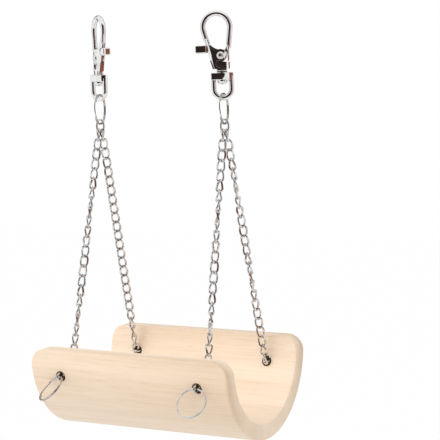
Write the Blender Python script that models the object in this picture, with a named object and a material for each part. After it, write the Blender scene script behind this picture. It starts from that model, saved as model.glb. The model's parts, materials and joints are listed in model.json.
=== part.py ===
# Hanging wooden swing: a half-pipe trough on four curb chains, with two swivel trigger clasps.
# Frame: metres, +Z up, +X from the left clasp to the right one, +Y away from the viewer.
# Origin: top of the left hook's eye, on the left swivel axis, where the hook bears on a bar.

import math

import bmesh
import bpy
from mathutils import Matrix, Vector

# Trough
TROUGH_LENGTH = 0.100
TROUGH_DIAMETER = 0.075
TROUGH_WALL = 0.007
TROUGH_LIP = 0.0031
TROUGH_CORNER = 0.009
TROUGH_EDGE = 0.0012
HOLE_FROM_END = 0.015
HOLE_FROM_RIM = 0.012
LEFT_DRAW = 0.00175
RIGHT_DRAW = 0.00325

# Chain
WIRE = 0.00095
LINK_WIDTH = 0.0038
LINK_PITCH = 0.00450
LINK_COUNT = 25
LINK_CURL = 0.0005
LINK_BITE = 0.00015
LEAD_WIDTH = 0.0042

# Split rings
RING_DIAMETER = 0.014
RING_BAND = 0.0006
RING_LEAF = 0.0006
RING_SLIT = 0.0002

# Clasp hook
EYE_RADIUS = 0.0049
EYE_OFFSET = 0.0015
EYE_HEIGHT = 0.020
HOOK_BAR = 0.0021
HOOK_THICKNESS = 0.0034
BODY_WIDTH = 0.0072
BODY_FOOT = 0.0017
HOOK_EDGE = 0.0005

# Clasp lever
PIVOT_OFFSET = 0.0003
PIVOT_HEIGHT = 0.0076
GATE_REACH = 0.00465
GATE_WIDTH = 0.0028
LEVER_THICKNESS = 0.0015
TAB_LENGTH = 0.0054
TAB_HEIGHT = 0.0034
TAB_WIDTH = 0.0030
PIN_DIAMETER = 0.0015
PIN_HEAD = 0.0034

# Lever spring
SPRING_DIAMETER = 0.0015
SPRING_WIRE = 0.00025
SPRING_TURNS = 4

# Swivel bail
BAIL_WIDTH = 0.0100
BAIL_DROP = 0.0121
BAIL_WIRE = 0.0022
BAIL_BAR = 0.0031
BAIL_MIDDLE = 0.0048
BAIL_END = 0.0018
STEM_DIAMETER = 0.0030
STEM_HEAD = 0.0045

# Clearances
SHAFT_PLAY = 0.00008
PLAY = 0.00015
GAP = 0.0002
HOLE_PLAY = 0.0003
SEAT_GAP = 0.00025

# Attitudes in degrees
LEFT_CLASP_TURN = 144.0
RIGHT_CLASP_TURN = 29.0
LEFT_BAIL_TURN = -13.0
RIGHT_BAIL_TURN = 28.0
RING_TURN = 13.0

bpy.context.scene.unit_settings.system = "METRIC"
for old in list(bpy.data.objects):
    bpy.data.objects.remove(old, do_unlink=True)


def make_material(name, colour, metallic, roughness):
    mat = bpy.data.materials.new(name)
    mat.use_nodes = True
    shader = mat.node_tree.nodes["Principled BSDF"]
    shader.inputs["Base Color"].default_value = (*colour, 1.0)
    shader.inputs["Metallic"].default_value = metallic
    shader.inputs["Roughness"].default_value = roughness
    mat.diffuse_color = (*colour, 1.0)
    return mat


WOOD = make_material("Pale pine", (0.80, 0.62, 0.43), 0.0, 0.55)
CHAIN_STEEL = make_material("Nickel chain wire", (0.62, 0.61, 0.59), 1.0, 0.22)
RING_STEEL = make_material("Nickel split ring", (0.66, 0.66, 0.66), 1.0, 0.18)
CLASP_METAL = make_material("Chromed zinc casting", (0.72, 0.72, 0.73), 1.0, 0.12)
LEVER_METAL = make_material("Chromed lever", (0.60, 0.59, 0.58), 1.0, 0.15)
PIN_STEEL = make_material("Pivot rivet steel", (0.78, 0.78, 0.78), 1.0, 0.20)
SPRING_STEEL = make_material("Spring wire", (0.45, 0.45, 0.47), 1.0, 0.30)
BAIL_METAL = make_material("Chromed bail", (0.70, 0.70, 0.71), 1.0, 0.14)


def finish_object(name, bm, material, smooth=True):
    bmesh.ops.recalc_face_normals(bm, faces=bm.faces[:])
    mesh = bpy.data.meshes.new(name)
    bm.to_mesh(mesh)
    bm.free()
    obj = bpy.data.objects.new(name, mesh)
    bpy.context.scene.collection.objects.link(obj)
    if material is not None:
        mesh.materials.append(material)
    if smooth:
        mesh.shade_smooth()
        mesh.set_sharp_from_angle(angle=math.radians(38.0))
    return obj


def helper_object(name, bm):
    obj = finish_object(name, bm, None, smooth=False)
    obj.hide_render = True
    obj.display_type = "WIRE"
    return obj


def combine(obj, other, operation):
    mod = obj.modifiers.new(operation.title() + " " + other.name, "BOOLEAN")
    mod.operation = operation
    mod.solver = "EXACT"
    mod.object = other


def round_edges(obj, width, segments, limit=35.0):
    mod = obj.modifiers.new("Softened edges", "BEVEL")
    mod.width = width
    mod.segments = segments
    mod.limit_method = "ANGLE"
    mod.angle_limit = math.radians(limit)


def arc(cx, cz, radius, start, end, steps):
    points = []
    for i in range(steps + 1):
        a = math.radians(start + (end - start) * i / steps)
        points.append((cx + radius * math.cos(a), cz + radius * math.sin(a)))
    return points


def plate(outline, thickness):
    bm = bmesh.new()
    face = bm.faces.new([bm.verts.new((u, -thickness / 2, v)) for u, v in outline])
    swept = bmesh.ops.extrude_face_region(bm, geom=[face])
    moved = [g for g in swept["geom"] if isinstance(g, bmesh.types.BMVert)]
    bmesh.ops.translate(bm, verts=moved, vec=(0.0, thickness, 0.0))
    return bm


def lathe(profile, axis, steps):
    bm = bmesh.new()
    verts = [bm.verts.new(p) for p in profile]
    edges = [bm.edges.new(pair) for pair in zip(verts[:-1], verts[1:])]
    bmesh.ops.spin(bm, geom=verts + edges, cent=(0.0, 0.0, 0.0), axis=axis,
                   angle=2 * math.pi, steps=steps, use_merge=True)
    bmesh.ops.remove_doubles(bm, verts=bm.verts[:], dist=1e-6)
    return bm


# Levels below the left hook's eye. Local clasp heights start at the top of the bail's bar.
BAR_TOP = -(EYE_HEIGHT + math.sqrt(EYE_RADIUS ** 2 - EYE_OFFSET ** 2))
BAIL_AXIS = BAR_TOP - BAIL_DROP + BAIL_WIRE / 2
RING_RADIUS = (RING_DIAMETER - RING_BAND) / 2
RING_CENTRE = BAIL_AXIS + BAIL_WIRE / 2 + 2.8 * GAP + RING_BAND / 2 - RING_RADIUS
RING_FOOT = RING_CENTRE - RING_RADIUS
RING_STACK = 2 * RING_LEAF + RING_SLIT
RING_CORNER = math.hypot(RING_BAND, RING_STACK) / 2
LINK_HALF_WIDTH = (LINK_WIDTH - WIRE) / 2
LINK_HALF_LENGTH = (LINK_PITCH + WIRE - LINK_BITE) / 2
PAIR_OFFSET = WIRE / 2 + GAP
APEX_SEAT = 1.22 * PAIR_OFFSET
APEX_BEND = max(APEX_SEAT + WIRE + PLAY, RING_CORNER + WIRE / 2 + GAP)
APEX_STRAIGHT = RING_CORNER + WIRE + 1.5 * GAP
APEX_FOOT = RING_FOOT - APEX_STRAIGHT
RUN_TOP = APEX_FOOT - math.sqrt(APEX_SEAT ** 2 - PAIR_OFFSET ** 2)
RUN_LENGTH = (LINK_COUNT - 1) * LINK_PITCH + 2 * LINK_HALF_LENGTH
TROUGH_RADIUS = TROUGH_DIAMETER / 2
BORE_RADIUS = TROUGH_RADIUS - TROUGH_WALL
HOLE_DEPTH = HOLE_FROM_RIM - TROUGH_LIP
INNER_MOUTH = math.sqrt(BORE_RADIUS ** 2 - HOLE_DEPTH ** 2)
OUTER_MOUTH = math.sqrt(TROUGH_RADIUS ** 2 - HOLE_DEPTH ** 2)
LEAD_HALF_WIDTH = (LEAD_WIDTH - WIRE) / 2
LEAD_INNER = INNER_MOUTH - WIRE / 2 - LINK_HALF_WIDTH / 2
BITE_REACH = RUN_LENGTH - WIRE - SEAT_GAP
RUN_DRAW = max(abs(LEFT_DRAW), abs(RIGHT_DRAW)) + PAIR_OFFSET
RUN_DROP = math.sqrt(BITE_REACH ** 2 - LEAD_INNER ** 2 - RUN_DRAW ** 2)
HOLE_LEVEL = RUN_TOP - RUN_DROP
TROUGH_AXIS = HOLE_LEVEL + HOLE_DEPTH
HOLE_SPACING = TROUGH_LENGTH - 2 * HOLE_FROM_END
APEX_SPACING = HOLE_SPACING - LEFT_DRAW - RIGHT_DRAW
RIGHT_LEAN = math.atan(RIGHT_DRAW / RUN_DROP)
STOP_SEAT = OUTER_MOUTH + RING_CORNER + 2 * GAP
LEAD_OUTER = STOP_SEAT + RING_CORNER + WIRE / 2 + 2 * PLAY
LEAD_HALF_LENGTH = (LEAD_OUTER - LEAD_INNER + WIRE + PLAY) / 4
SIDES = (("left", 0.0), ("right", APEX_SPACING))
HOLES = {"left": -LEFT_DRAW, "right": APEX_SPACING + RIGHT_DRAW}


# Trough: a sheet run round the half pipe from rim to rim, thickened inwards, with softened edges.
# Each lip above the pipe's axis is flat, and its top corners are rounded in the side view.
def corner_point(angle):
    depth = TROUGH_CORNER * (1.0 - math.cos(angle))
    return depth, TROUGH_LENGTH / 2 - TROUGH_CORNER * (1.0 - math.sin(angle))


lip_angle = math.acos(1.0 - min(TROUGH_LIP, 0.95 * TROUGH_CORNER) / TROUGH_CORNER)
lip_arc = [corner_point(lip_angle * i / 3) for i in range(4)]
bent_arc = [corner_point(lip_angle + (math.pi / 2 - lip_angle) * i / 2) for i in range(1, 3)]
quarter = TROUGH_LIP + TROUGH_RADIUS * math.pi / 2
rows = [lip_arc[-1]] + bent_arc
for i in range(1, 10):
    rows.append((TROUGH_CORNER + (quarter - TROUGH_CORNER) * i / 9, TROUGH_LENGTH / 2))
rows = [(depth, reach) for depth, reach in rows]
rows += [(2 * quarter - depth, reach) for depth, reach in reversed(rows[:-1])]


def row_ends(depth, reach):
    around = (depth - TROUGH_LIP) / TROUGH_RADIUS
    y = -TROUGH_RADIUS * math.cos(around)
    z = -TROUGH_RADIUS * math.sin(around)
    return [Vector((-reach, y, z)), Vector((reach, y, z))]


bm = bmesh.new()
row_edge = bm.edges.new([bm.verts.new(e) for e in row_ends(*rows[0])])
edges = [row_edge]
for depth, reach in rows[1:]:
    grown = bmesh.ops.extrude_edge_only(bm, edges=[row_edge])["geom"]
    row_edge = [g for g in grown if isinstance(g, bmesh.types.BMEdge)][0]
    ends = row_ends(depth, reach)
    for vert in row_edge.verts:
        vert.co = ends[0] if vert.co.x < 0.0 else ends[1]
    edges.append(row_edge)
for edge, y in ((edges[0], -TROUGH_RADIUS), (edges[-1], TROUGH_RADIUS)):
    left, right = sorted(edge.verts, key=lambda vert: vert.co.x)
    rim = [left]
    rim += [bm.verts.new((-reach, y, TROUGH_LIP - depth)) for depth, reach in reversed(lip_arc[:-1])]
    rim += [bm.verts.new((reach, y, TROUGH_LIP - depth)) for depth, reach in lip_arc[:-1]]
    rim.append(right)
    bm.faces.new(rim)
trough = finish_object("trough", bm, WOOD)
trough.location = ((HOLES["left"] + HOLES["right"]) / 2, 0.0, TROUGH_AXIS)
shell = trough.modifiers.new("Wall", "SOLIDIFY")
shell.thickness = TROUGH_WALL
shell.offset = -1.0
shell.use_even_offset = True
round_edges(trough, TROUGH_EDGE, 2)

hole_radius = LEAD_WIDTH / 2 + HOLE_PLAY
for name, x in HOLES.items():
    bm = bmesh.new()
    bmesh.ops.create_cone(bm, cap_ends=True, segments=16, radius1=hole_radius, radius2=hole_radius,
                          depth=2 * TROUGH_DIAMETER)
    bmesh.ops.rotate(bm, verts=bm.verts[:], matrix=Matrix.Rotation(math.pi / 2, 3, "X"))
    drill = helper_object("drill_" + name, bm)
    drill.location = (x, 0.0, HOLE_LEVEL)
    combine(trough, drill, "DIFFERENCE")


# Chain links: a square-section torus drawn out to an oval, its sides curled out of the flat.
def add_link(bm, half_width, half_length, curl, frame):
    quadrant = (20.0, 55.0, 90.0)
    angles = [a for a in quadrant] + [180.0 - a for a in reversed(quadrant[:-1])]
    angles += [180.0 + a for a in angles]
    fullness = 2.0 / 2.3

    def centre(a):
        c = math.cos(a)
        s = math.sin(a)
        return Vector((half_width * math.copysign(abs(c) ** fullness, c),
                       half_length * math.copysign(abs(s) ** fullness, s),
                       curl * math.sin(2 * a)))

    rings = []
    for degrees in angles:
        a = math.radians(degrees)
        along = (centre(a + 0.02) - centre(a - 0.02)).normalized()
        outward = Vector((along.y, -along.x, 0.0)).normalized()
        side = along.cross(outward)
        middle = centre(a)
        ring = []
        for k in range(4):
            turn = math.pi / 2 * k
            offset = outward * math.cos(turn) + side * math.sin(turn)
            ring.append(bm.verts.new(frame @ (middle + offset * WIRE / 2)))
        rings.append(ring)
    for i, ring in enumerate(rings):
        following = rings[(i + 1) % len(rings)]
        for k in range(4):
            m = (k + 1) % 4
            bm.faces.new((ring[k], ring[m], following[m], following[k]))


def link_frame(middle, along, lateral):
    y = along.normalized()
    x = (lateral - y * lateral.dot(y)).normalized()
    z = x.cross(y)
    frame = Matrix((x, y, z)).transposed().to_4x4()
    frame.translation = middle
    return frame


def single_link(name, half_width, half_length, middle, along, lateral):
    bm = bmesh.new()
    add_link(bm, half_width, half_length, 0.0, link_frame(Vector(), along, lateral))
    obj = finish_object(name, bm, CHAIN_STEEL)
    obj.location = middle
    return obj


# Turn of a link about its run in degrees: the two runs' first links cross at the apex link.
def even_twist(share):
    if share == 0.0:
        return -15.0
    return 30.0 + 354.0 * share


def end_twist(share):
    if share == 0.0:
        return -15.0
    early = min(share / 0.2, 1.0)
    late = max((share - 0.8) / 0.2, 0.0)
    return 30.0 + 60.0 * early + 114.0 * late


TWISTS = {"front_left": even_twist, "back_left": end_twist,
          "front_right": even_twist, "back_right": even_twist}

for side, x in SIDES:
    apex_middle = Vector((x, 0.0, (RING_FOOT + APEX_FOOT) / 2))
    apex_half = APEX_STRAIGHT / 2 + APEX_BEND
    single_link(side + "_apex_link", APEX_BEND, apex_half, apex_middle,
                Vector((0, 0, 1)), Vector((1, 0, 0)))
    for row, sign in (("front", -1.0), ("back", 1.0)):
        name = row + "_" + side
        top = Vector((x + sign * PAIR_OFFSET, 0.0, RUN_TOP))
        hole = HOLES[side]
        bearing = Vector((hole, sign * LEAD_INNER, HOLE_LEVEL))
        down = (bearing - top).normalized()
        base_lateral = Vector((0.0, 1.0, 0.0))
        groups = (bmesh.new(), bmesh.new())
        for k in range(LINK_COUNT):
            middle = down * (LINK_HALF_LENGTH + k * LINK_PITCH)
            turn = math.radians(TWISTS[name](k / (LINK_COUNT - 1)))
            lateral = Matrix.Rotation(turn, 3, down) @ base_lateral
            add_link(groups[k % 2], LINK_HALF_WIDTH, LINK_HALF_LENGTH, LINK_CURL,
                     link_frame(middle, -down, lateral))
        run = finish_object(name + "_chain", groups[0], CHAIN_STEEL)
        mates = helper_object(name + "_chain_mates", groups[1])
        for obj in (run, mates):
            obj.location = top
        combine(run, mates, "UNION")

        lead_step = 2 * LEAD_HALF_LENGTH - WIRE - PLAY
        inner_y = LEAD_INNER + LEAD_HALF_LENGTH
        single_link(name + "_inner_lead_link", LEAD_HALF_WIDTH, LEAD_HALF_LENGTH,
                    Vector((hole, sign * inner_y, HOLE_LEVEL)), Vector((0, 1, 0)), Vector((1, 0, 0)))
        single_link(name + "_outer_lead_link", LEAD_HALF_WIDTH, LEAD_HALF_LENGTH,
                    Vector((hole, sign * (inner_y + lead_step), HOLE_LEVEL)),
                    Vector((0, 1, 0)), Vector((0, 0, 1)))


# Split rings: one flat strip, two turns, with a ramp where it steps from one leaf to the other.
def split_ring(name, thread_point, hang, lateral):
    radial = -hang.normalized()
    tangent = (lateral - radial * lateral.dot(radial)).normalized()
    normal = radial.cross(tangent)
    bm = bmesh.new()
    step_up = RING_LEAF + RING_SLIT
    corners = []
    for r, h in ((-1, -1), (1, -1), (1, 1), (-1, 1)):
        corners.append((RING_RADIUS + r * RING_BAND / 2, 0.0, -step_up / 2 + h * RING_LEAF / 2))
    section = bm.faces.new([bm.verts.new(c) for c in corners])
    geom = [section] + section.edges[:] + section.verts[:]
    for sweep, steps, lift in ((300.0, 15, 0.0), (60.0, 3, step_up), (300.0, 15, 0.0)):
        grown = bmesh.ops.spin(bm, geom=geom, cent=(0, 0, 0), axis=(0, 0, 1),
                               dvec=(0, 0, lift / steps), angle=math.radians(sweep), steps=steps)
        geom = grown["geom_last"]
    obj = finish_object(name, bm, RING_STEEL)
    thread_angle = Matrix.Rotation(math.radians(-60.0), 3, "Z")
    turn = Matrix((radial, tangent, normal)).transposed() @ thread_angle
    obj.matrix_world = Matrix.Translation(thread_point - radial * RING_RADIUS) @ turn.to_4x4()
    return obj


# Lines that the two sides hang on: the left one is plumb, the right one follows the pull of its chains.
hang_lines = {}
for side, x in SIDES:
    lean = Matrix.Rotation(-RIGHT_LEAN if side == "right" else 0.0, 4, "Y")
    foot = Vector((0.0, 0.0, RING_FOOT))
    hang_lines[side] = Matrix.Translation(Vector((x, 0.0, 0.0)) + foot) @ lean @ Matrix.Translation(-foot)
    across = Matrix.Rotation(math.radians(RING_TURN), 3, "Z") @ Vector((0, 1, 0))
    split_ring(side + "_hanger_ring", hang_lines[side] @ (foot + Vector((0, 0, 2 * RING_RADIUS))),
               lean.to_3x3() @ Vector((0, 0, -1)), lean.to_3x3() @ across)

STOP_POSES = {"front_left": (-40.0, 46.0, 12.0), "front_right": (0.0, 38.0, 0.0),
              "back_left": (0.0, 20.0, 0.0), "back_right": (0.0, 20.0, 0.0)}
for side, x in HOLES.items():
    for row, sign in (("front", -1.0), ("back", 1.0)):
        name = row + "_" + side
        yaw, lean, sway = [math.radians(a) for a in STOP_POSES[name]]
        hang = Vector((-math.sin(sway), sign * math.sin(lean), -math.cos(lean) * math.cos(sway)))
        lateral = Matrix.Rotation(yaw, 3, "Z") @ Vector((1, 0, 0))
        split_ring(name + "_stop_ring", Vector((x, sign * STOP_SEAT, HOLE_LEVEL)), hang, lateral)


# Clasp: a cast hook with two cheeks, a sprung lever on a rivet between them, a swivel bail.
eye = (-EYE_OFFSET, EYE_HEIGHT)
pivot = (-PIVOT_OFFSET, PIVOT_HEIGHT)
eye_outer = EYE_RADIUS + HOOK_BAR
spine_lean = math.degrees(math.atan2(eye_outer - BODY_WIDTH / 2 + EYE_OFFSET, EYE_HEIGHT - BODY_FOOT))
limb_lean = spine_lean / 2
slot_width = LEVER_THICKNESS + 2 * GAP
cheek_radius = 0.6 * GATE_REACH
tip_reach = GATE_REACH + GAP + PLAY


def limb_point(radius, v):
    a = math.radians(limb_lean)
    u0 = eye[0] + radius * math.cos(a)
    v0 = eye[1] - radius * math.sin(a)
    return (u0 - (v0 - v) * math.tan(a), v)


def spine_point(radius, v):
    a = math.radians(spine_lean)
    u0 = eye[0] - radius * math.cos(a)
    v0 = eye[1] - radius * math.sin(a)
    return (u0 + (v0 - v) * math.tan(a), v)


tab_foot = pivot[1] + 0.28 * GATE_REACH
tab_top = tab_foot + TAB_HEIGHT
slot_top = tab_top + 1.5 * GAP
block_top = pivot[1] - 0.65 * GATE_REACH
eye_line = EYE_RADIUS + HOOK_BAR / 2
nose_inset = limb_point(EYE_RADIUS, pivot[1] + 0.85 * tip_reach)[0] - pivot[0]
nose_level = pivot[1] + math.sqrt(tip_reach ** 2 - nose_inset ** 2)


def hook_rod():
    bm = bmesh.new()
    end = bmesh.ops.create_circle(bm, cap_ends=True, segments=10, radius=HOOK_BAR / 2)["verts"]
    lean = math.radians(limb_lean)
    bmesh.ops.rotate(bm, verts=end, matrix=Matrix.Rotation(lean, 3, "Y"))
    nose = limb_point(eye_line, nose_level)
    bmesh.ops.translate(bm, verts=end, vec=(nose[0], 0, nose[1]))
    last = bm.faces[:]
    shoulder = limb_point(eye_line, eye[1] - eye_line * math.sin(lean))
    root = spine_point(eye_line, BODY_FOOT + 0.3 * HOOK_BAR)
    crown = spine_point(eye_line, eye[1] - eye_line * math.sin(math.radians(spine_lean)))
    for start, finish in ((nose, shoulder), (crown, root)):
        grown = bmesh.ops.extrude_face_region(bm, geom=last)["geom"]
        moved = [g for g in grown if isinstance(g, bmesh.types.BMVert)]
        bmesh.ops.translate(bm, verts=moved, vec=(finish[0] - start[0], 0, finish[1] - start[1]))
        last = [g for g in grown if isinstance(g, bmesh.types.BMFace)]
        if start is nose:
            geom = last + [e for f in last for e in f.edges] + moved
            swept = bmesh.ops.spin(bm, geom=geom, cent=(eye[0], 0, eye[1]), axis=(0, -1, 0),
                                   angle=math.radians(180.0 + spine_lean + limb_lean), steps=18)
            last = [g for g in swept["geom_last"] if isinstance(g, bmesh.types.BMFace)]
    inner = [f for f in bm.faces if all(len(e.link_faces) > 2 for e in f.edges)]
    bmesh.ops.delete(bm, geom=inner, context="FACES_ONLY")
    return bm


def body_outline():
    half = BODY_WIDTH / 2
    edge = eye_line + 0.55 * HOOK_BAR
    inset = EYE_RADIUS + 0.2 * HOOK_BAR
    points = [spine_point(edge, BODY_FOOT), (half, BODY_FOOT), (half, block_top)]
    points += arc(*pivot, cheek_radius, -75.0, 125.0, 10)
    points.append(spine_point(inset, pivot[1] + 1.2 * cheek_radius))
    points.append(spine_point(inset, slot_top + 0.2 * HOOK_BAR))
    points.append(spine_point(edge, slot_top + 0.5 * HOOK_BAR))
    return points


def lever_outline():
    reach = GATE_REACH
    scoop = 1.62 * reach
    points = arc(*pivot, reach, 38.0, 53.0, 4)
    scoop_level = pivot[1] + 2.13 * reach
    scoop_end = math.degrees(math.asin((scoop_level - tab_top) / scoop)) - 180.0
    points += arc(pivot[0] + 0.28 * reach, scoop_level, scoop, -84.0, scoop_end, 7)
    tab_root = spine_point(eye_outer, tab_foot)[0]
    tab_end = tab_root - TAB_LENGTH
    points += [(tab_root, tab_top), (tab_end, tab_top)]
    points += [(tab_end, tab_foot), (tab_root, tab_foot)]
    points += arc(*pivot, 0.52 * reach, 215.0, 375.0, 7)
    return points


def gate_outline():
    outer = BODY_WIDTH / 2
    inner = cheek_radius + GAP + PLAY / 2
    low = block_top + GAP + PLAY / 2
    points = arc(*pivot, GATE_REACH, 53.0, 38.0, 3)
    points += [(outer, pivot[1] + 0.3 * GATE_REACH), (outer, low + 0.3 * cheek_radius)]
    points += [(outer - 0.15 * cheek_radius, low), (pivot[0] + inner, low)]
    points += arc(*pivot, inner, 0.0, 50.0, 5)
    return points


def slot_outline():
    reach = GATE_REACH
    floor = BODY_FOOT + HOOK_BAR / 3
    far = 2.0 * eye_outer
    back = SPRING_DIAMETER + 2 * GAP
    points = [(-far, floor + 0.55 * reach), (spring_u - back / 2 - GAP, floor + 0.45 * reach)]
    points += [(spring_u - back / 2, floor), (pivot[0] + 0.4 * reach, floor)]
    points += [(pivot[0] + 0.4 * reach, pivot[1] - 0.6 * reach), (far, pivot[1] - 0.6 * reach)]
    points += [(far, pivot[1] + cheek_radius + PLAY / 2), (pivot[0], pivot[1] + cheek_radius + PLAY / 2)]
    points += [(pivot[0], slot_top), (-far, slot_top)]
    return points


spring_u = pivot[0] - 0.45 * GATE_REACH
spring_foot = BODY_FOOT + HOOK_BAR / 3 + PLAY + SPRING_WIRE / 2
spring_head = pivot[1] - 0.40 * GATE_REACH - GAP - SPRING_WIRE / 2

for side, x in SIDES:
    turn = math.radians(LEFT_CLASP_TURN if side == "left" else RIGHT_CLASP_TURN)
    spun = Matrix.Rotation(turn, 4, "Z")
    base = hang_lines[side] @ Matrix.Translation((0.0, 0.0, BAR_TOP))

    # Hook casting with its swivel stem, peened below the bail's bar
    hook = finish_object(side + "_hook", plate(body_outline(), HOOK_THICKNESS), CLASP_METAL)
    hook.matrix_world = base @ spun
    round_edges(hook, HOOK_EDGE, 1)
    rod = helper_object(side + "_rod_shape", hook_rod())
    rod.matrix_world = hook.matrix_world
    combine(hook, rod, "UNION")
    stem = STEM_DIAMETER / 2
    head = STEM_HEAD / 2
    under = -BAIL_BAR - PLAY
    profile = [(0, 0, BODY_FOOT + HOOK_BAR / 4), (head, 0, BODY_FOOT + HOOK_BAR / 4), (head, 0, PLAY)]
    profile += [(stem, 0, PLAY), (stem, 0, under), (head, 0, under), (head, 0, under - head * 0.3)]
    profile += [(head * 0.7, 0, under - head * 0.7), (0, 0, under - head * 0.85)]
    shank = helper_object(side + "_stem_shape", lathe(profile, (0, 0, 1), 16))
    shank.matrix_world = hook.matrix_world
    combine(hook, shank, "UNION")
    slot = helper_object(side + "_slot_shape", plate(slot_outline(), slot_width))
    slot.matrix_world = hook.matrix_world
    combine(hook, slot, "DIFFERENCE")
    bore = PIN_DIAMETER / 2 + SHAFT_PLAY
    bm = bmesh.new()
    bmesh.ops.create_cone(bm, cap_ends=True, segments=12, radius1=bore, radius2=bore,
                          depth=2 * HOOK_THICKNESS)
    bmesh.ops.rotate(bm, verts=bm.verts[:], matrix=Matrix.Rotation(math.pi / 2, 3, "X"))
    reamer = helper_object(side + "_pivot_bore", bm)
    reamer.matrix_world = hook.matrix_world @ Matrix.Translation((pivot[0], 0.0, pivot[1]))
    combine(hook, reamer, "DIFFERENCE")

    # Lever plate with its thumb pad, turning on the rivet
    at_pivot = [(u - pivot[0], v - pivot[1]) for u, v in lever_outline()]
    lever = finish_object(side + "_lever", plate(at_pivot, LEVER_THICKNESS), LEVER_METAL)
    lever.matrix_world = reamer.matrix_world
    tab_end = spine_point(eye_outer, tab_foot)[0] - TAB_LENGTH
    tab_neck = tab_end + 0.7 * TAB_LENGTH
    pad_outline = [(tab_end, tab_foot), (tab_neck, tab_foot), (tab_neck, tab_top), (tab_end, tab_top)]
    pad = helper_object(side + "_pad_shape", plate(pad_outline, TAB_WIDTH))
    gate = helper_object(side + "_gate_shape", plate(gate_outline(), GATE_WIDTH))
    for shape in (pad, gate):
        shape.matrix_world = hook.matrix_world
        round_edges(shape, HOOK_EDGE, 2)
        combine(lever, shape, "UNION")
    combine(lever, reamer, "DIFFERENCE")

    # Rivet through both cheeks
    out = HOOK_THICKNESS / 2 + PLAY
    shaft = PIN_DIAMETER / 2
    brim = PIN_HEAD / 2
    dome = [(0, out + 0.5 * brim), (0.6 * brim, out + 0.4 * brim), (brim, out + 0.1 * brim), (brim, out)]
    profile = [(r, h, 0) for r, h in dome] + [(shaft, out, 0), (shaft, -out, 0)]
    profile += [(r, -h, 0) for r, h in reversed(dome)]
    rivet = finish_object(side + "_lever_rivet", lathe(profile, (0, 1, 0), 12), PIN_STEEL)
    rivet.matrix_world = reamer.matrix_world

    # Coil spring standing in the slot under the thumb side of the lever
    coil = bpy.data.curves.new(side + "_lever_spring", "CURVE")
    coil.dimensions = "3D"
    coil.bevel_depth = SPRING_WIRE / 2
    coil.bevel_resolution = 0
    coil.use_fill_caps = True
    points = []
    count = SPRING_TURNS * 9
    mean = (SPRING_DIAMETER - SPRING_WIRE) / 2
    for i in range(count + 1):
        a = 2 * math.pi * i / 9
        points.append(Vector((mean * math.cos(a), mean * math.sin(a),
                              (spring_head - spring_foot) * i / count)))
    spline = coil.splines.new("POLY")
    spline.points.add(len(points) - 1)
    for target, p in zip(spline.points, points):
        target.co = (*p, 1.0)
    spring = bpy.data.objects.new(side + "_lever_spring", coil)
    bpy.context.scene.collection.objects.link(spring)
    coil.materials.append(SPRING_STEEL)
    spring.matrix_world = hook.matrix_world @ Matrix.Translation((spring_u, 0.0, spring_foot))
    least = min((a - b).length for i, a in enumerate(points) for b in points[i + 6:])
    print(side, "spring least gap to itself, mm", round((least - SPRING_WIRE) * 1000, 3))

    # Swivel bail: a bored bar, thicker in the middle, with a round-wire loop below it
    leg = (BAIL_WIDTH - BAIL_WIRE) / 2
    bm = bmesh.new()
    tube = bmesh.ops.create_circle(bm, cap_ends=True, segments=10, radius=BAIL_WIRE / 2)["verts"]
    bmesh.ops.translate(bm, verts=tube, vec=(-leg, 0, -BAIL_BAR / 2))
    cap = bm.faces[:]
    drop = -(BAIL_DROP - BAIL_WIRE / 2 - leg)
    grown = bmesh.ops.extrude_face_region(bm, geom=cap)["geom"]
    moved = [g for g in grown if isinstance(g, bmesh.types.BMVert)]
    bmesh.ops.translate(bm, verts=moved, vec=(0, 0, drop + BAIL_BAR / 2))
    last = [g for g in grown if isinstance(g, bmesh.types.BMFace)]
    geom = last + [e for f in last for e in f.edges] + moved
    swept = bmesh.ops.spin(bm, geom=geom, cent=(0, 0, drop), axis=(0, -1, 0), angle=math.pi, steps=10)
    geom = swept["geom_last"]
    last = [g for g in geom if isinstance(g, bmesh.types.BMFace)]
    grown = bmesh.ops.extrude_face_region(bm, geom=last)["geom"]
    moved = [g for g in grown if isinstance(g, bmesh.types.BMVert)]
    bmesh.ops.translate(bm, verts=moved, vec=(0, 0, -drop - BAIL_BAR / 2))
    inner = [f for f in bm.faces if len(f.verts) > 4]
    ends = [f for f in inner if abs(f.calc_center_median().z + BAIL_BAR / 2) < 1e-5]
    bmesh.ops.delete(bm, geom=[f for f in inner if f not in ends], context="FACES_ONLY")
    loop = helper_object(side + "_bail_loop", bm)
    bar_half = BAIL_WIDTH / 2
    bar_plan = [(bar_half, -BAIL_END / 2), (bar_half, BAIL_END / 2), (0.0, BAIL_MIDDLE / 2)]
    bar_plan += [(-u, -v) for u, v in bar_plan]
    bm = plate(bar_plan, BAIL_BAR)
    bmesh.ops.rotate(bm, verts=bm.verts[:], matrix=Matrix.Rotation(math.pi / 2, 3, "X"))
    bmesh.ops.translate(bm, verts=bm.verts[:], vec=(0, 0, -BAIL_BAR / 2))
    bail = finish_object(side + "_swivel_bail", bm, BAIL_METAL)
    round_edges(bail, HOOK_EDGE, 2, 20.0)
    bail_turn = math.radians(LEFT_BAIL_TURN if side == "left" else RIGHT_BAIL_TURN)
    bail.matrix_world = base @ Matrix.Rotation(bail_turn, 4, "Z")
    loop.matrix_world = bail.matrix_world
    combine(bail, loop, "UNION")
    bm = bmesh.new()
    bore = STEM_DIAMETER / 2 + SHAFT_PLAY
    bmesh.ops.create_cone(bm, cap_ends=True, segments=16, radius1=bore, radius2=bore, depth=4 * BAIL_BAR)
    reamer = helper_object(side + "_swivel_bore", bm)
    reamer.matrix_world = bail.matrix_world
    combine(bail, reamer, "DIFFERENCE")
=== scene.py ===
# Hanging wooden swing for a small pet, dressed piece by piece from the trough up to the clasps.
import json
import math

import bmesh
import bpy
from mathutils import Matrix, Vector


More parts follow.
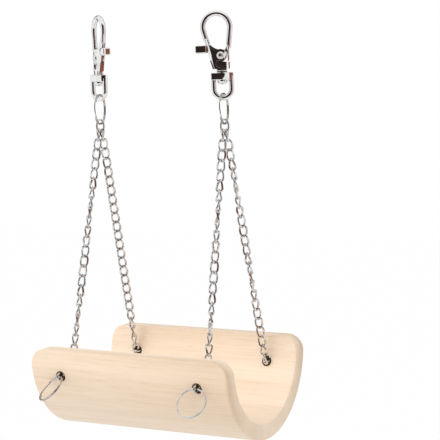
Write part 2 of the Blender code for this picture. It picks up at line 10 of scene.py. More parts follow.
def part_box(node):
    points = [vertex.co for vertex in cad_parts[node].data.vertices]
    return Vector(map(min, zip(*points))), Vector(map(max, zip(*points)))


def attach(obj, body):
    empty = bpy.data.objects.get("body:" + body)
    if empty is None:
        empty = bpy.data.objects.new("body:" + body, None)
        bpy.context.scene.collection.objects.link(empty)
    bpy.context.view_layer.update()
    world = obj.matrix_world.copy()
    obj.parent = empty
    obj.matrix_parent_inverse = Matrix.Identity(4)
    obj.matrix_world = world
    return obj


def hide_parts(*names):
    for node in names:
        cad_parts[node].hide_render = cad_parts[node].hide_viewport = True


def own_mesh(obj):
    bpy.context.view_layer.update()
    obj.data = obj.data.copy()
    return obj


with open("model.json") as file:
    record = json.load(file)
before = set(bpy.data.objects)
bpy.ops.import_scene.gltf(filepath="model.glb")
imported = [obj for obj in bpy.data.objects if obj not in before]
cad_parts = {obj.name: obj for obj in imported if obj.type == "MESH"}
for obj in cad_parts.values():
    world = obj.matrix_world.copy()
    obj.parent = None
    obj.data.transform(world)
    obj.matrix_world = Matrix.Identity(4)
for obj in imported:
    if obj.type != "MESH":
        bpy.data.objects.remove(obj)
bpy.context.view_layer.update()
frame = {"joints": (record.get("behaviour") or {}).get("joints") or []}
places = {joint["name"]: Vector(joint["pos_m"]) for joint in frame["joints"]}

# Trough: half of a turned softwood pipe, sanded smooth and left bare. Its lips stand straight above
# the half round, its rim corners are rounded off, and each wall is drilled near both ends.
trough_low, trough_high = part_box("trough")
trough_length = trough_high.x - trough_low.x
trough_radius = (trough_high.y - trough_low.y) / 2
trough_wall = 0.007
trough_lip = 0.0031
rim_corner = 0.0075
edge_round = 0.0021
hole_radius = 0.0024
hole_level = places["left_hole_turn"].z
holes = {"left": places["left_hole_turn"].x, "right": places["right_hole_turn"].x}
pipe_middle = Vector(((trough_low.x + trough_high.x) / 2, 0.0, trough_high.z - trough_lip))
cut_reach = 1.6 * trough_radius
cut_clear = 0.01
smooth_limit = 40.0


def lay(tree, kind, inputs=None, **settings):
    made = tree.nodes.new("ShaderNode" + kind)
    for name, value in settings.items():
        setattr(made, name, value)
    for name, value in (inputs or {}).items():
        if isinstance(value, bpy.types.NodeSocket):
            tree.links.new(value, made.inputs[name])
        else:
            made.inputs[name].default_value = value
    return made


def reckon(tree, operation, *values, **settings):
    return lay(tree, "Math", dict(enumerate(values)), operation=operation, **settings).outputs[0]


def ramp(tree, value, low, high, least=0.0, most=1.0):
    span = {"Value": value, "From Min": low, "From Max": high, "To Min": least, "To Max": most}
    return lay(tree, "MapRange", span).outputs[0]


def drawn_noise(tree, where, stretch, detail, rough=0.5, turn=(0.0, 0.0, 0.0)):
    place = lay(tree, "Mapping", {"Vector": where, "Scale": stretch, "Rotation": turn}).outputs[0]
    noise = {"Vector": place, "Scale": 1.0, "Detail": detail, "Roughness": rough}
    return lay(tree, "TexNoise", noise).outputs[0]


def new_finish(name):
    finish = bpy.data.materials.new(name)
    finish.use_nodes = True
    tree = finish.node_tree
    return finish, tree, tree.nodes["Principled BSDF"]


def new_group(name, inputs, outputs):
    group = bpy.data.node_groups.new(name, "ShaderNodeTree")
    for label, kind, value in inputs:
        socket = group.interface.new_socket(label, in_out="INPUT", socket_type=kind)
        socket.default_value = value
    for label, kind in outputs:
        group.interface.new_socket(label, in_out="OUTPUT", socket_type=kind)
    return group, group.nodes.new("NodeGroupInput"), group.nodes.new("NodeGroupOutput")


def coated_finish(name, group, values, bump, height):
    finish, tree, shader = new_finish(name)
    coat = lay(tree, "Group", values, node_tree=group)
    raised = lay(tree, "Bump", {"Height": coat.outputs["Height"], "Strength": bump, "Distance": height})
    tree.links.new(coat.outputs["Color"], shader.inputs["Base Color"])
    tree.links.new(coat.outputs["Roughness"], shader.inputs["Roughness"])
    tree.links.new(raised.outputs[0], shader.inputs["Normal"])
    return finish, shader


# Grain of the pine: broad growth tone, thin streaks drawn out along the trough, and a few short flecks.
# The outside of the pipe is a little darker from handling. Painted shade makes it darker towards its right
# end, away from the key light, and lighter low down, as a painted floor bounce. The right end's cut is
# darker, as painted shade.
grain, grain_in, grain_out = new_group(
    "pine grain and shade",
    [("Pale", "NodeSocketColor", (0.9, 0.76, 0.6, 1.0)),
     ("Deep", "NodeSocketColor", (0.7, 0.53, 0.36, 1.0)),
     ("Fleck", "NodeSocketFloat", 0.5)],
    [("Color", "NodeSocketColor"), ("Roughness", "NodeSocketFloat"), ("Height", "NodeSocketFloat")])
where = lay(grain, "TexCoord").outputs["Object"]
broad = drawn_noise(grain, where, stretch=(5.0, 90.0, 90.0), detail=3.0, rough=0.55)
streak = drawn_noise(grain, where, stretch=(38.0, 1900.0, 1900.0), detail=4.0, rough=0.6)
fleck = drawn_noise(grain, where, stretch=(130.0, 1500.0, 1500.0), detail=1.0)
broad_tone = ramp(grain, broad, 0.36, 0.68, most=0.30)
streak_tone = ramp(grain, streak, 0.46, 0.70, most=0.30)
fleck_tone = reckon(grain, "MULTIPLY", ramp(grain, fleck, 0.63, 0.74), grain_in.outputs["Fleck"])
tone = reckon(grain, "ADD", broad_tone, streak_tone)
from_axis = lay(grain, "VectorMath", {0: where, 1: pipe_middle}, operation="SUBTRACT").outputs[0]
round_place = lay(grain, "VectorMath", {0: from_axis, 1: (0.0, 1.0, 1.0)}, operation="MULTIPLY").outputs[0]
round_reach = lay(grain, "VectorMath", {0: round_place}, operation="LENGTH").outputs["Value"]
outside = ramp(grain, round_reach, trough_radius - 0.8 * trough_wall, trough_radius - 0.2 * trough_wall)
along = lay(grain, "SeparateXYZ", {0: from_axis})
lengthwise = along.outputs["X"]
# Painted shade: the outside darkens towards the right end, as if the key light fell from the left.
rightward_shade = ramp(grain, lengthwise, -0.3 * trough_length, 0.4 * trough_length, least=0.26, most=0.5)
# Painted floor bounce: the darkening of the outside and of the right end's cut fades towards the bottom.
high = ramp(grain, along.outputs["Z"], 0.2 * trough_wall - trough_radius, -0.3 * trough_radius, least=0.25)
outside_wear_and_shade = reckon(grain, "MULTIPLY", outside, high)
tone_wear_and_shade = reckon(grain, "MULTIPLY_ADD", outside_wear_and_shade, rightward_shade, tone)
# Painted shade on the right end's cut, which faces away from the key light.
right_end_shade = ramp(grain, lengthwise, 0.485 * trough_length, 0.5 * trough_length, most=0.35)
tone_with_end_shade = reckon(grain, "MULTIPLY_ADD", right_end_shade, high, tone_wear_and_shade)
depth = reckon(grain, "ADD", tone_with_end_shade, fleck_tone, use_clamp=True)
pale_to_deep = {"Fac": depth, "Color1": grain_in.outputs["Pale"], "Color2": grain_in.outputs["Deep"]}
hue = lay(grain, "MixRGB", pale_to_deep).outputs[0]
gloss = ramp(grain, depth, 0.0, 1.0, least=0.5, most=0.68)
rise = reckon(grain, "SUBTRACT", 1.0, depth)
for source, label in ((hue, "Color"), (gloss, "Roughness"), (rise, "Height")):
    grain.links.new(source, grain_out.inputs[label])


def pine_finish(name, pale, deep, fleck_level, bump):
    values = {"Pale": (*pale, 1.0), "Deep": (*deep, 1.0), "Fleck": fleck_level}
    return coated_finish(name, grain, values, bump, height=0.0002)[0]


sanded_pine = pine_finish("sanded pine", pale=(0.92, 0.765, 0.61), deep=(0.70, 0.525, 0.365),
                          fleck_level=0.22, bump=0.18)
# The hole walls are dark brown, partly from drill burn and partly as painted shade inside the holes.
drilled_pine_burn_and_shade = pine_finish("drilled pine burn and shade", pale=(0.32, 0.165, 0.085), deep=(0.14, 0.07, 0.035),
                           fleck_level=0.5, bump=0.6)


def draw_out(shape, faces, vec):
    grown = bmesh.ops.extrude_face_region(shape, geom=faces)["geom"]
    drawn = [part for part in grown if isinstance(part, bmesh.types.BMVert)]
    bmesh.ops.translate(shape, vec=vec, verts=drawn)
    return [part for part in grown if isinstance(part, bmesh.types.BMFace)]


def turn_out(shape, faces, cent, axis, angle, steps, dvec=(0.0, 0.0, 0.0)):
    edges = list({edge for face in faces for edge in face.edges})
    verts = list({vert for face in faces for vert in face.verts})
    swept = bmesh.ops.spin(shape, geom=faces + edges + verts, cent=cent, axis=axis, angle=angle,
                           steps=steps, dvec=dvec)["geom_last"]
    return [part for part in swept if isinstance(part, bmesh.types.BMFace)]


def clear_inside(shape):
    inner = [face for face in shape.faces if all(len(edge.link_faces) > 2 for edge in face.edges)]
    bmesh.ops.delete(shape, geom=inner, context="FACES_ONLY")


def make_piece(name, shape, *finishes, crease=smooth_limit):
    bmesh.ops.recalc_face_normals(shape, faces=shape.faces[:])
    mesh = bpy.data.meshes.new(name)
    shape.to_mesh(mesh)
    shape.free()
    for finish in finishes:
        mesh.materials.append(finish)
    mesh.shade_smooth()
    mesh.set_sharp_from_angle(angle=math.radians(crease))
    piece = bpy.data.objects.new(name, mesh)
    bpy.context.scene.collection.objects.link(piece)
    return piece


def settle(piece):
    graph = bpy.context.evaluated_depsgraph_get()
    mesh = bpy.data.meshes.new_from_object(piece.evaluated_get(graph))
    piece.modifiers.clear()
    piece.data = mesh


def carve(piece, tool, *finishes):
    cutter = make_piece("carving tool", tool, *finishes)
    cut = piece.modifiers.new("Cut", "BOOLEAN")
    cut.operation = "DIFFERENCE"
    cut.solver = "EXACT"
    cut.material_mode = "TRANSFER"
    cut.object = cutter
    settle(piece)
    bpy.data.objects.remove(cutter)


def soften(piece, width, segments, limit):
    bevel = piece.modifiers.new("Softened edges", "BEVEL")
    bevel.width = width
    bevel.segments = segments
    bevel.limit_method = "ANGLE"
    bevel.angle_limit = math.radians(limit)
    bevel.harden_normals = False
    settle(piece)


def seat(piece, body, slot, *nodes):
    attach(piece, body)
    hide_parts(*nodes)


wall = bmesh.new()
bmesh.ops.create_grid(wall, x_segments=1, y_segments=1, size=0.5)
bmesh.ops.scale(wall, vec=(trough_length, trough_wall, 1.0), verts=wall.verts[:])
bmesh.ops.translate(wall, vec=(0.0, trough_wall / 2 - trough_radius, trough_lip), verts=wall.verts[:])
rim = draw_out(wall, wall.faces[:], (0.0, 0.0, -trough_lip))
rim = turn_out(wall, rim, (0, 0, 0), (1, 0, 0), math.pi, steps=80)
draw_out(wall, rim, (0.0, 0.0, trough_lip))
clear_inside(wall)
bmesh.ops.translate(wall, vec=pipe_middle, verts=wall.verts[:])
trough = make_piece("swing_trough", wall, sanded_pine)
for way in (-1.0, 1.0):
    corner = bmesh.new()
    end = way * trough_length / 2
    bend = Vector((end - way * rim_corner, -cut_reach, trough_lip - rim_corner))
    start = bmesh.ops.create_vert(corner, co=(bend.x, -cut_reach, trough_lip))["vert"]
    bmesh.ops.spin(corner, geom=start, cent=bend, axis=(0, way, 0), angle=math.pi / 2, steps=14)
    past_end = end + way * cut_clear
    past_rim = trough_lip + cut_clear
    for x, z in ((past_end, bend.z), (past_end, past_rim), (bend.x, past_rim)):
        bmesh.ops.create_vert(corner, co=(x, -cut_reach, z))
    draw_out(corner, [corner.faces.new(corner.verts[:])], (0.0, 2 * cut_reach, 0.0))
    bmesh.ops.translate(corner, vec=pipe_middle, verts=corner.verts[:])
    carve(trough, corner, sanded_pine)
soften(trough, edge_round, segments=6, limit=smooth_limit)
quarter_turn = Matrix.Rotation(math.pi / 2, 3, "X")
for x in holes.values():
    drill = bmesh.new()
    bmesh.ops.create_cone(drill, cap_ends=True, segments=40, radius1=hole_radius, radius2=hole_radius,
                          depth=2 * cut_reach)
    bmesh.ops.rotate(drill, matrix=quarter_turn, verts=drill.verts[:])
    bmesh.ops.translate(drill, vec=(x, 0.0, hole_level), verts=drill.verts[:])
    carve(trough, drill, drilled_pine_burn_and_shade)
trough.data.shade_smooth()
trough.data.set_sharp_from_angle(angle=math.radians(smooth_limit))
even = trough.modifiers.new("Even shading", "WEIGHTED_NORMAL")
even.keep_sharp = True
seat(trough, "trough", "wood", "trough")

# Chains: four runs of nickel-plated curb chain. Each wire link is bent to an oval, its sides are curled
# out of the flat, and each one threads the next and lies a little further round, so the run twists.
# A twist is given as knots: a share of the way down the run, and the turn of the link there in degrees.
wire = 0.00094
link_reach = 0.00155
link_stretch = 0.00265
link_fullness = 0.87
link_pitch = 0.0045
link_count = 25
link_curl = 0.0005
run_spread = 0.000675
run_hang = 0.00047
first_turn = -15.0
twists = {"front_left": ((0.0, 20.0), (0.93, 385.0), (1.0, 385.0)),
          "front_right": ((0.0, 31.0), (0.38, 168.0), (0.9, 382.0), (1.0, 386.0)),
          "back_left": ((0.0, 30.0), (0.2, 64.0), (0.8, 64.0), (1.0, 204.0)),
          "back_right": ((0.0, 46.0), (0.79, 403.0), (0.88, 415.0), (1.0, 500.0))}
tops = {"left": places["long_swing"], "right": places["right_apex_turn"]}
apex_low, apex_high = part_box("left_apex_link")
apex_stretch = (apex_high.z - apex_low.z - (apex_high.y - apex_low.y)) / 2
apex_reach = apex_stretch + (apex_low.z + apex_high.z) / 2 - tops["left"].z
run_top = tops["left"].z - 2 * (apex_stretch - apex_reach) - run_hang
lead_low, lead_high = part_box("back_left_inner_lead_link")
lead_stretch = (lead_high.y - lead_low.y - (lead_high.z - lead_low.z)) / 2
run_foot = (lead_low.y + lead_high.y) / 2 - lead_stretch

# Polish of plated metal: a faint cloud in the gloss and fine handling scratches, for all the metal pieces.
polish, polish_in, polish_out = new_group(
    "plated polish",
    [("Bright", "NodeSocketColor", (0.8, 0.8, 0.8, 1.0)),
     ("Dull", "NodeSocketColor", (0.5, 0.5, 0.5, 1.0)),
     ("Smooth", "NodeSocketFloat", 0.08),
     ("Worn", "NodeSocketFloat", 0.2)],
    [("Color", "NodeSocketColor"), ("Roughness", "NodeSocketFloat"), ("Height", "NodeSocketFloat")])
where = lay(polish, "TexCoord").outputs["Object"]
cloud_noise = {"Vector": where, "Scale": 420.0, "Detail": 3.0, "Roughness": 0.6}
cloud = lay(polish, "TexNoise", cloud_noise).outputs[0]
scratch = drawn_noise(polish, where, stretch=(4200.0, 3600.0, 500.0), detail=2.0, turn=(0.3, 0.2, 0.4))
cloudy = ramp(polish, cloud, 0.38, 0.72)
tarnish = reckon(polish, "MAXIMUM", cloudy, ramp(polish, scratch, 0.6, 0.75))
bright_to_dull = {"Fac": cloudy, "Color1": polish_in.outputs["Bright"], "Color2": polish_in.outputs["Dull"]}
metal_hue = lay(polish, "MixRGB", bright_to_dull).outputs[0]
metal_gloss = ramp(polish, tarnish, 0.0, 1.0, polish_in.outputs["Smooth"], polish_in.outputs["Worn"])
for source, label in ((metal_hue, "Color"), (metal_gloss, "Roughness"), (scratch, "Height")):
    polish.links.new(source, polish_out.inputs[label])


def plated_finish(name, bright, dull, smooth, worn, bump):
    values = {"Bright": (*bright, 1.0), "Dull": (*dull, 1.0), "Smooth": smooth, "Worn": worn}
    finish, shader = coated_finish(name, polish, values, bump, height=0.00002)
    shader.inputs["Metallic"].default_value = 1.0
    return finish


chain_nickel = plated_finish("chain nickel", bright=(0.77, 0.76, 0.75), dull=(0.50, 0.485, 0.47),
                             smooth=0.09, worn=0.20, bump=0.10)


def bend_link(name, reach, stretch, curl):
    blank = bmesh.new()
    section = bmesh.ops.create_circle(blank, segments=8, radius=wire / 2)["verts"]
    bmesh.ops.rotate(blank, matrix=quarter_turn, verts=section)
    bmesh.ops.translate(blank, vec=(reach, 0.0, 0.0), verts=section)
    bmesh.ops.spin(blank, geom=blank.verts[:] + blank.edges[:], cent=(0, 0, 0), axis=(0, 0, 1),
                   angle=2 * math.pi, steps=24, use_merge=True)

    def full(share):
        return math.copysign(abs(share) ** link_fullness, share)

    def line(angle):
        return Vector((reach * full(math.cos(angle)), stretch * full(math.sin(angle)),
                       curl * math.sin(2 * angle)))

    nearby = 0.04
    for vert in blank.verts:
        angle = math.atan2(vert.co.y, vert.co.x)
        along = (line(angle + nearby) - line(angle - nearby)).normalized()
        outward = Vector((along.y, -along.x, 0.0)).normalized()
        proud = math.hypot(vert.co.x, vert.co.y) - reach
        vert.co = line(angle) + outward * proud + along.cross(outward) * -vert.co.z
    bmesh.ops.recalc_face_normals(blank, faces=blank.faces[:])
    mesh = bpy.data.meshes.new(name)
    blank.to_mesh(mesh)
    blank.free()
    return mesh


def set_link(shape, blank, middle, along, lateral):
    first = len(shape.verts)
    shape.from_mesh(blank)
    shape.verts.ensure_lookup_table()
    y = along.normalized()
    x = (lateral - y * lateral.dot(y)).normalized()
    stance = Matrix((x, y, x.cross(y))).transposed().to_4x4()
    stance.translation = middle
    bmesh.ops.transform(shape, matrix=stance, verts=shape.verts[first:])


def link_turn(knots, link):
    if link == 0:
        return first_turn
    share = link / (link_count - 1)
    spans = zip(knots[:-1], knots[1:])
    (start, first), (end, last) = next(span for span in spans if span[1][0] >= share)
    return first + (last - first) * (share - start) / (end - start)


chain_link = bend_link("chain link", link_reach, link_stretch, link_curl)
for name, knots in twists.items():
    row, side = name.split("_")
    way = -1.0 if row == "front" else 1.0
    top = Vector((tops[side].x + way * run_spread, 0.0, run_top))
    down = (Vector((holes[side], way * run_foot, hole_level)) - top).normalized()
    run = bmesh.new()
    for link in range(link_count):
        turn = math.radians(link_turn(knots, link))
        lateral = Matrix.Rotation(turn, 3, down) @ Vector((0.0, 1.0, 0.0))
        set_link(run, chain_link, top + down * (link_stretch + link * link_pitch), -down, lateral)
    chain = make_piece(name + "_curb_chain", run, chain_nickel)
    seat(chain, side + "_chains", "chain_nickel", name + "_chain")

# Lead links: two longer wire links carry each run through its hole. The inner one lies flat in the hole's
# mouth and takes the run's last link, and the outer one stands upright and holds the stop ring.
lead_reach = 0.0016


def middle_of(node):
    low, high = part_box(node)
    return (low + high) / 2


lead_link = bend_link("lead link", lead_reach, lead_stretch, 0.0)
for name in twists:
    for place, lateral in (("_inner_lead", Vector((1, 0, 0))), ("_outer_lead", Vector((0, 0, 1)))):
        link = bmesh.new()
        set_link(link, lead_link, middle_of(name + place + "_link"), Vector((0, 1, 0)), lateral)
        lead = make_piece(name + place, link, chain_nickel)
        seat(lead, "trough", "chain_nickel", name + place + "_link")

# Apex links: one slightly wider wire link on each side gathers the first links of the front and back
# runs below the hanger ring.
apex_link = bend_link("apex link", apex_reach, apex_stretch, 0.0)
for side in tops:
    link = bmesh.new()
    set_link(link, apex_link, middle_of(side + "_apex_link"), Vector((0, 0, 1)), Vector((1, 0, 0)))
    apex = make_piece(side + "_apex", link, chain_nickel)
    seat(apex, side + "_chains", "chain_nickel", side + "_apex_link")

# Split rings: a flat nickel-plated strip wound twice round, its two leaves pressed together and stepping
# from one to the other on a short ramp. Four stop the chains outside the walls, two hang the apex links.
# A stop ring's pose is its turn, its lean off the wall and its sway, in degrees.
ring_line = 0.0067
ring_band = 0.0006
ring_leaf = 0.00045
ring_step = 0.0005
ring_lap = 300.0
ring_ramp = 60.0
ring_facet = 6.0
strip_sides = 12
strip_square = 0.5
stop_poses = {"front_left": (-40.0, 46.0, 12.0), "front_right": (0.0, 38.0, 0.0),
              "back_left": (0.0, 20.0, 0.0), "back_right": (0.0, 20.0, 0.0)}
hanger_turn = 13.0
ring_nickel = plated_finish("ring nickel", bright=(0.70, 0.67, 0.645), dull=(0.52, 0.495, 0.475),
                            smooth=0.10, worn=0.22, bump=0.08)


def wind_ring(name, thread_point, hang, lateral):
    strip = bmesh.new()
    section = bmesh.ops.create_circle(strip, cap_ends=True, segments=strip_sides, radius=0.5)["verts"]
    bmesh.ops.rotate(strip, matrix=Matrix.Rotation(math.pi / strip_sides, 3, "Z"), verts=section)
    for vert in section:
        to_square = 0.5 / max(abs(vert.co.x), abs(vert.co.y))
        vert.co *= strip_square * to_square + 1.0 - strip_square
    bmesh.ops.scale(strip, vec=(ring_band, ring_leaf, 1.0), verts=section)
    bmesh.ops.rotate(strip, matrix=quarter_turn, verts=section)
    bmesh.ops.translate(strip, vec=(ring_line, 0.0, -ring_step / 2), verts=section)
    ends = strip.faces[:]
    for sweep, lift in ((ring_lap, 0.0), (ring_ramp, ring_step), (ring_lap, 0.0)):
        steps = round(sweep / ring_facet)
        ends = turn_out(strip, ends, (0, 0, 0), (0, 0, 1), math.radians(sweep), steps, (0, 0, lift / steps))
    clear_inside(strip)
    radial = -hang.normalized()
    tangent = (lateral - radial * lateral.dot(radial)).normalized()
    facing = Matrix((radial, tangent, radial.cross(tangent))).transposed()
    facing = facing @ Matrix.Rotation(math.radians(-ring_ramp), 3, "Z")
    stance = Matrix.Translation(thread_point - radial * ring_line) @ facing.to_4x4()
    bmesh.ops.transform(strip, matrix=stance, verts=strip.verts[:])
    return make_piece(name, strip, ring_nickel)


for name, pose in stop_poses.items():
    yaw, lean, sway = [math.radians(angle) for angle in pose]
    seat_point = places[name + "_stop_flap"]
    way = math.copysign(1.0, seat_point.y)
    hang = Vector((-math.sin(sway), way * math.sin(lean), -math.cos(lean) * math.cos(sway)))
    lateral = Matrix.Rotation(yaw, 3, "Z") @ Vector((1, 0, 0))
    stop = wind_ring(name + "_stop", seat_point, hang, lateral)
    seat(stop, name + "_stop", "ring_nickel", name + "_stop_ring")
swivels = {}
for joint in frame["joints"]:
    if joint["name"].endswith("_swivel"):
        swivels[joint["name"].split("_")[0]] = Vector(joint["axis"])
crosswise = Matrix.Rotation(math.radians(hanger_turn), 3, "Z") @ Vector((0, 1, 0))
for side, plumb in swivels.items():
    hanger = wind_ring(side + "_hanger", tops[side] + plumb * 2 * ring_line, -plumb, crosswise)
    seat(hanger, side + "_ring", "ring_nickel", side + "_hanger_ring")

# Swivel bails: a chromed casting. A bar, thicker in the middle where the hook's stem turns in its bore,
# ends in two legs that run into a round-wire loop, and the loop carries the hanger ring.
bail_half = 0.0050
bail_wire = 0.0022
bail_bar = 0.0031
bail_drop = 0.0121
bail_middle = 0.0024
bail_shoulder = 0.0033
bail_shoulder_depth = 0.00144
bail_end_near = 0.0006
bail_end_far = 0.0009
bail_edge = 0.0003
bail_crease = 30.0
bail_turns = {"left": -13.0, "right": 28.0}
stem_radius = 0.0015
stem_play = 0.00008
clasp_chrome = plated_finish("clasp chrome", bright=(0.86, 0.855, 0.85), dull=(0.76, 0.755, 0.75),
                             smooth=0.02, worn=0.06, bump=0.04)
leans = {side: Matrix.Rotation(math.atan2(plumb.x, plumb.z), 4, "Y") for side, plumb in swivels.items()}


def edge_spans(shape, axis):
    ends = {edge: [getattr(vert.co, axis) for vert in edge.verts] for edge in shape.edges}
    return {edge: abs(first - last) for edge, (first, last) in ends.items()}


def edges_along(shape, axis):
    spans = edge_spans(shape, axis)
    return [edge for edge, span in spans.items() if span > max(spans.values()) / 2]


def edges_across(shape, axis):
    return [edge for edge, span in edge_spans(shape, axis).items() if span < 1e-6]


def round_edges(shape, edges, width, segments):
    bmesh.ops.bevel(shape, geom=edges, offset=width, offset_type="OFFSET", segments=segments, profile=0.5,
                    affect="EDGES", material=-1)


def absorb(shape, piece):
    shape.from_mesh(piece.data)
    bpy.data.objects.remove(piece)


for side, lean in leans.items():
    stance = Matrix.Translation(places[side + "_swivel"]) @ lean
    stance = stance @ Matrix.Rotation(math.radians(bail_turns[side]), 4, "Z")
    bar = bmesh.new()
    plan = []
    for way in (-1.0, 1.0):
        plan += [(way * bail_half, -way * bail_end_near), (way * bail_half, way * bail_end_far),
                 (0.0, way * bail_middle), (-way * bail_shoulder, way * bail_shoulder_depth)]
    corners = [bmesh.ops.create_vert(bar, co=(*spot, 0.0))["vert"][0] for spot in plan]
    draw_out(bar, [bar.faces.new(corners)], (0.0, 0.0, -bail_bar))
    bmesh.ops.recalc_face_normals(bar, faces=bar.faces[:])
    round_edges(bar, edges_along(bar, "z"), bail_edge, segments=4)
    round_edges(bar, edges_across(bar, "z"), bail_edge, segments=2)
    bmesh.ops.transform(bar, matrix=stance, verts=bar.verts[:])
    bar_piece = make_piece("bail bar", bar, clasp_chrome, crease=bail_crease)
    bore = bmesh.new()
    bmesh.ops.create_cone(bore, cap_ends=True, segments=32, radius1=stem_radius + stem_play,
                          radius2=stem_radius + stem_play, depth=4 * bail_bar)
    bmesh.ops.transform(bore, matrix=stance, verts=bore.verts[:])
    carve(bar_piece, bore, clasp_chrome)
    leg = bail_half - bail_wire / 2
    loop = bmesh.new()
    section = bmesh.ops.create_circle(loop, cap_ends=True, segments=20, radius=bail_wire / 2)["verts"]
    bmesh.ops.translate(loop, vec=(-leg, 0.0, -bail_bar / 2), verts=section)
    drop = bail_wire / 2 + leg - bail_drop
    ends = draw_out(loop, loop.faces[:], (0.0, 0.0, drop + bail_bar / 2))
    ends = turn_out(loop, ends, (0.0, 0.0, drop), (0, -1, 0), math.pi, steps=36)
    draw_out(loop, ends, (0.0, 0.0, -drop - bail_bar / 2))
    clear_inside(loop)
    bmesh.ops.recalc_face_normals(loop, faces=loop.faces[:])
    bmesh.ops.transform(loop, matrix=stance, verts=loop.verts[:])
    absorb(loop, bar_piece)
    bail = make_piece(side + "_bail", loop, clasp_chrome, crease=bail_crease)
    seat(bail, side + "_bail", "clasp_chrome", side + "_swivel_bail")

# Hooks: chromed castings. A round bar runs from the nose over the eye and down the spine, two cheeks with a
# pocket below the rivet stand either side of the lever's slot, and a collared stem turns in the bail.
# Heights are measured up from the top of the bail's bar.
eye_line = 0.00595
eye_middle = Vector((-0.0015, 0.0, 0.0200))
hook_bar = 0.0023
hook_depth = 0.0034
hook_foot = 0.0017
spine_lean = math.radians(14.99)
spine_out = Vector((-math.cos(spine_lean), 0.0, -math.sin(spine_lean)))
spine_top = 0.0152
spine_taper = 0.0008
spine_inset = -0.3 * hook_bar
nose_lean = spine_lean / 2
nose_end = 0.0095
body_half = 0.0036
block_top = 0.00458
pivot = Vector((-0.0003, 0.0, 0.0076))
cheek_round = 0.00279
cheek_top = pivot.z + 1.2 * cheek_round
cheek_edge = 0.00055
tip_reach = 0.00535
tip_gap = 0.0001
slot_top = 0.0126
slot_half = 0.00095
slot_floor = hook_foot + 0.0007
slot_front = pivot.x + 0.0018
flank_start = 0.0013
flank_slope = 0.31
back_edge = hook_bar / 2
back_chamfer = 0.0019
back_slope = 0.55
back_high = 0.0056
back_wall_foot = 0.0005
back_wall_top = 0.00035
floor_inset = 0.0002
floor_lap = 0.00005
pocket_width = 0.0036
pocket_height = 0.0031
pocket_depth = 0.00045
pocket_corner = 0.0008
pocket_middle = pivot + Vector((-0.0002, 0.0, -0.0037))
neck_steps = ((0.00015, 0.00080, 0.00235), (0.00095, hook_foot + 0.0002, 0.0022))
neck_half = 0.0016
neck_edge = 0.00018
head_dome = ((0.00225, 0.00015), (0.00225, 0.0007), (0.0019, 0.0013), (0.0012, 0.0018), (0.0, 0.0020))
edge_limit = 35.0
clasp_turns = {"left": 144.0, "right": 29.0}
stances = {}
for side, lean in leans.items():
    turned = Matrix.Rotation(math.radians(clasp_turns[side]), 4, "Z")
    stances[side] = Matrix.Translation(places[side + "_swivel"]) @ lean @ turned


def spine_at(level, out=0.0):
    start = eye_middle + spine_out * (eye_line + out)
    down = Vector((math.sin(spine_lean), 0.0, -math.cos(spine_lean)))
    return start + down * (start.z - level) / math.cos(spine_lean)


def cut_plate(points, near, far):
    plate = bmesh.new()
    corners = [bmesh.ops.create_vert(plate, co=(x, near, z))["vert"][0] for x, z in points]
    draw_out(plate, [plate.faces.new(corners)], (0.0, far - near, 0.0))
    return plate


def slope_flank(shape):
    chamfer_line = spine_at(0.0, back_edge) - spine_out * back_chamfer
    for spot, facing in ((Vector((flank_start, 0.0, 0.0)), Vector((1, 0, 0))), (chamfer_line, spine_out)):
        bmesh.ops.bisect_plane(shape, geom=shape.verts[:] + shape.edges[:] + shape.faces[:], dist=1e-6,
                               plane_co=spot, plane_no=facing)
    for vert in shape.verts:
        face_level = hook_depth / 2 - max(vert.co.x - flank_start, 0.0) * flank_slope
        face_level -= max((vert.co - chamfer_line).dot(spine_out), 0.0) * back_slope
        vert.co.y = math.copysign(min(abs(vert.co.y), face_level), vert.co.y)
    bmesh.ops.recalc_face_normals(shape, faces=shape.faces[:])


def arc_points(middle, radius, start, end, steps):
    angles = [math.radians(start + (end - start) * step / steps) for step in range(steps + 1)]
    return [(middle.x + radius * math.cos(angle), middle.z + radius * math.sin(angle)) for angle in angles]


def turn_profile(profile, axis, steps):
    shape = bmesh.new()
    line = [bmesh.ops.create_vert(shape, co=spot)["vert"][0] for spot in profile]
    for first, second in zip(line[:-1], line[1:]):
        shape.edges.new((first, second))
    bmesh.ops.spin(shape, geom=shape.verts[:] + shape.edges[:], cent=(0, 0, 0), axis=axis,
                   angle=2 * math.pi, steps=steps, use_merge=True)
    bmesh.ops.remove_doubles(shape, verts=shape.verts[:], dist=1e-6)
    return shape


